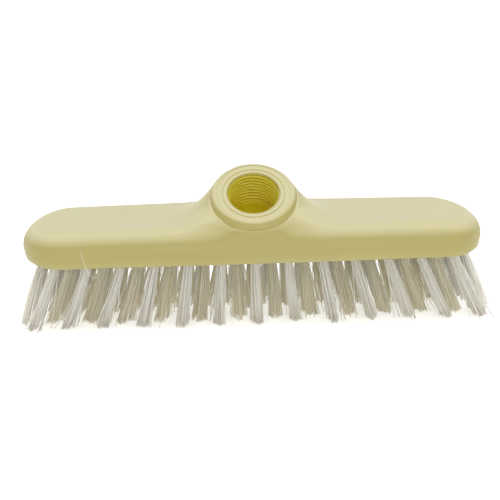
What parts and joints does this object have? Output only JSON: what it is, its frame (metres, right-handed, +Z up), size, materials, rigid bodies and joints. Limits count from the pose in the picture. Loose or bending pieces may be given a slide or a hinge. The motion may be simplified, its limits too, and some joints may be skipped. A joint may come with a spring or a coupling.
{
  "type": "deck brush",
  "caption": "Deck brush head: a long pale block with rounded ends, a tilted threaded socket for a handle, and rows of stiff bristle tufts that fan out to the ends.",
  "frame": {"origin": "centre of the box's bottom face, level with the bristle tips that the brush stands on", "axes": "+X along the block, -Y to the front that the socket leans towards, +Z up"},
  "size_m": [0.2158, 0.0643, 0.0719],
  "materials": {
    "block_plastic": "satin moulded plastic, pale yellow",
    "bristle": "drawn filament, translucent white",
    "anchor_wire": "flat drawn wire"
  },
  "bodies": {
    "root": {"block": "block_plastic", "bristle_row_front": "bristle", "bristle_row_second": "bristle", "bristle_row_third": "bristle", "bristle_row_rear": "bristle", "tuft_anchor_front_01": "anchor_wire", "tuft_anchor_front_02": "anchor_wire", "tuft_anchor_front_03": "anchor_wire", "tuft_anchor_front_04": "anchor_wire", "tuft_anchor_front_05": "anchor_wire", "tuft_anchor_front_06": "anchor_wire", "tuft_anchor_front_07": "anchor_wire", "tuft_anchor_front_08": "anchor_wire", "tuft_anchor_front_09": "anchor_wire", "tuft_anchor_front_10": "anchor_wire", "tuft_anchor_front_11": "anchor_wire", "tuft_anchor_front_12": "anchor_wire", "tuft_anchor_front_13": "anchor_wire", "tuft_anchor_second_01": "anchor_wire", "tuft_anchor_second_02": "anchor_wire", "tuft_anchor_second_03": "anchor_wire", "tuft_anchor_second_04": "anchor_wire", "tuft_anchor_second_05": "anchor_wire", "tuft_anchor_second_06": "anchor_wire", "tuft_anchor_second_07": "anchor_wire", "tuft_anchor_second_08": "anchor_wire", "tuft_anchor_second_09": "anchor_wire", "tuft_anchor_second_10": "anchor_wire", "tuft_anchor_second_11": "anchor_wire", "tuft_anchor_second_12": "anchor_wire", "tuft_anchor_second_13": "anchor_wire", "tuft_anchor_second_14": "anchor_wire", "tuft_anchor_third_01": "anchor_wire", "tuft_anchor_third_02": "anchor_wire", "tuft_anchor_third_03": "anchor_wire", "tuft_anchor_third_04": "anchor_wire", "tuft_anchor_third_05": "anchor_wire", "tuft_anchor_third_06": "anchor_wire", "tuft_anchor_third_07": "anchor_wire", "tuft_anchor_third_08": "anchor_wire", "tuft_anchor_third_09": "anchor_wire", "tuft_anchor_third_10": "anchor_wire", "tuft_anchor_third_11": "anchor_wire", "tuft_anchor_third_12": "anchor_wire", "tuft_anchor_third_13": "anchor_wire", "tuft_anchor_rear_01": "anchor_wire", "tuft_anchor_rear_02": "anchor_wire", "tuft_anchor_rear_03": "anchor_wire", "tuft_anchor_rear_04": "anchor_wire", "tuft_anchor_rear_05": "anchor_wire", "tuft_anchor_rear_06": "anchor_wire", "tuft_anchor_rear_07": "anchor_wire", "tuft_anchor_rear_08": "anchor_wire", "tuft_anchor_rear_09": "anchor_wire", "tuft_anchor_rear_10": "anchor_wire", "tuft_anchor_rear_11": "anchor_wire", "tuft_anchor_rear_12": "anchor_wire"}
  },
  "joints": []
}
